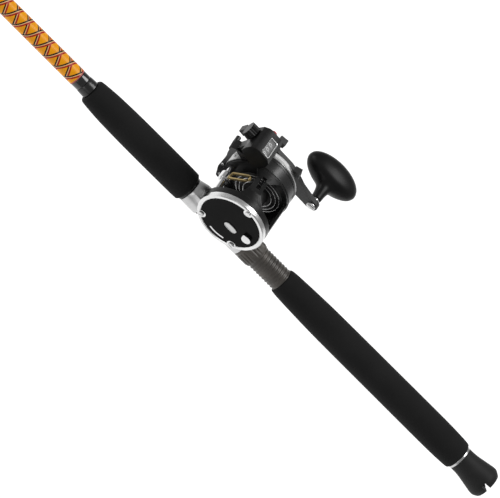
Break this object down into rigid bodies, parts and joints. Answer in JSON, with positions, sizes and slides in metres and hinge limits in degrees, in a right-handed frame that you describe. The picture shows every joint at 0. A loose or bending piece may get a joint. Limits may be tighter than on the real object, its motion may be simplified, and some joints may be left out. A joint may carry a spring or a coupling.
{
  "type": "fishing rod and reel",
  "caption": "Boat fishing rod with foam grips and a diamond thread wrap, carrying a level-wind trolling reel with a line counter, star drag and paddle crank.",
  "frame": {"origin": "centre of the butt cap's end face, on the rod's axis", "axes": "+Y along the rod to its tip, +Z to the side with the reel and the guides, +X to the crank's side"},
  "size_m": [0.156, 1.833, 0.126],
  "materials": {
    "foam_grip": "matte EVA foam",
    "rubber": "moulded rubber",
    "blank": "glossy epoxy over fibreglass",
    "thread_wrap": "thread wrap under epoxy",
    "graphite": "satin graphite composite",
    "satin_black": "satin anodised",
    "gloss_black": "moulded, semi-gloss",
    "silver": "brushed",
    "chrome": "polished",
    "steel": "machined",
    "brass": "satin",
    "ceramic": "polished ceramic",
    "fibre": "woven fibre",
    "nylon": "moulded nylon",
    "digit_white": "moulded, with white figures",
    "lens": "clear",
    "red": "moulded"
  },
  "bodies": {
    "rod": {"rod_blank": "blank", "butt_cap": "rubber", "butt_ring": "silver", "rear_grip": "foam_grip", "seat_barrel": "graphite", "fixed_hood": "silver", "seat_ring": "gloss_black", "fore_grip": "foam_grip", "check_collar": "gloss_black", "wrap_sleeve": "thread_wrap", "guide_frame_1": "steel", "guide_ring_1": "ceramic", "guide_frame_2": "steel", "guide_ring_2": "ceramic", "guide_frame_3": "steel", "guide_ring_3": "ceramic", "guide_frame_4": "steel", "guide_ring_4": "ceramic", "tip_top": "steel", "reel_foot": "chrome", "reel_frame": "satin_black", "left_side_plate": "satin_black", "left_bezel": "silver", "plate_screw_1": "silver", "plate_screw_2": "silver", "plate_screw_3": "silver", "side_badge": "silver", "left_bearing": "steel", "right_bearing": "steel", "worm_shield": "chrome", "trim_plate": "silver", "gear_case": "satin_black", "side_cover": "silver", "counter_case": "gloss_black", "counter_window": "lens"},
    "hood": {"sliding_hood": "silver"},
    "nut": {"lock_nut": "graphite"},
    "crank": {"crank_shaft": "steel", "drive_gear": "brass", "drag_washer": "fibre", "drag_plate": "steel", "crank_arm": "satin_black", "handle_nut": "gloss_black", "knob_spindle": "steel"},
    "star": {"star_drag": "gloss_black"},
    "paddle": {"paddle_knob": "gloss_black"},
    "spool": {"spool": "satin_black", "spool_shaft": "steel", "spool_pinion": "steel"},
    "worm": {"worm_shaft": "steel", "worm_gear": "nylon"},
    "carriage": {"line_carriage": "chrome", "line_guide_loop": "brass"},
    "clicker": {"clicker_button": "silver"},
    "lever": {"free_spool_lever": "gloss_black"},
    "ones_wheel": {"digit_wheel_ones": "digit_white"},
    "tens_wheel": {"digit_wheel_tens": "digit_white"},
    "hundreds_wheel": {"digit_wheel_hundreds": "digit_white"},
    "reset": {"reset_button": "red"},
    "dial": {"setting_knob": "gloss_black"}
  },
  "joints": [
    {"name": "hood_slide", "type": "slide", "parent": "rod", "child": "hood", "axis": [0, 1, 0], "range_m": [-0.014, 0]},
    {"name": "nut_turn", "type": "hinge", "parent": "hood", "child": "nut", "pos_m": [0, 0.345, 0], "axis": [0, 1, 0], "range_deg": [-1260, 0]},
    {"name": "crank_turn", "type": "hinge", "parent": "rod", "child": "crank", "pos_m": [0.06, 0.40517, 0.05466], "axis": [1, 0, 0], "continuous": true},
    {"name": "star_turn", "type": "hinge", "parent": "crank", "child": "star", "pos_m": [0.055, 0.40517, 0.05466], "axis": [1, 0, 0], "range_deg": [-540, 540]},
    {"name": "paddle_spin", "type": "hinge", "parent": "crank", "child": "paddle", "pos_m": [0.1, 0.3333, 0.0418], "axis": [1, 0, 0], "continuous": true},
    {"name": "spool_spin", "type": "hinge", "parent": "rod", "child": "spool", "pos_m": [0, 0.3898, 0.052], "axis": [1, 0, 0], "continuous": true},
    {"name": "worm_spin", "type": "hinge", "parent": "rod", "child": "worm", "pos_m": [0, 0.42661, 0.052], "axis": [1, 0, 0], "continuous": true},
    {"name": "carriage_travel", "type": "slide", "parent": "rod", "child": "carriage", "axis": [1, 0, 0], "range_m": [-0.0182, 0.0097]},
    {"name": "clicker_slide", "type": "slide", "parent": "rod", "child": "clicker", "axis": [0, 0, 1], "range_m": [-0.0028, 0.0028]},
    {"name": "lever_turn", "type": "hinge", "parent": "rod", "child": "lever", "pos_m": [0.035, 0.4377, 0.0525], "axis": [1, 0, 0], "range_deg": [-30, 0]},
    {"name": "ones_turn", "type": "hinge", "parent": "rod", "child": "ones_wheel", "pos_m": [0, 0.4261, 0.0952], "axis": [1, 0, 0], "continuous": true},
    {"name": "tens_turn", "type": "hinge", "parent": "rod", "child": "tens_wheel", "pos_m": [0, 0.4261, 0.0952], "axis": [1, 0, 0], "continuous": true},
    {"name": "hundreds_turn", "type": "hinge", "parent": "rod", "child": "hundreds_wheel", "pos_m": [0, 0.4261, 0.0952], "axis": [1, 0, 0], "continuous": true},
    {"name": "reset_press", "type": "slide", "parent": "rod", "child": "reset", "axis": [-1, 0, 0], "range_m": [0, 0.0018], "stiffness_N_per_m": 400},
    {"name": "dial_turn", "type": "hinge", "parent": "rod", "child": "dial", "pos_m": [0.035, 0.4455, 0.095], "axis": [0, 1, 0], "range_deg": [-150, 150]}
  ],
  "couplings": [
    {"joint": "nut_turn", "follows": "hood_slide", "rad_per_m": 1570.8},
    {"joint": "spool_spin", "follows": "crank_turn", "ratio": -3.3333},
    {"joint": "worm_spin", "follows": "crank_turn", "ratio": -1.25},
    {"joint": "ones_turn", "follows": "crank_turn", "ratio": 0.2},
    {"joint": "tens_turn", "follows": "crank_turn", "ratio": 0.02},
    {"joint": "hundreds_turn", "follows": "crank_turn", "ratio": 0.002}
  ]
}
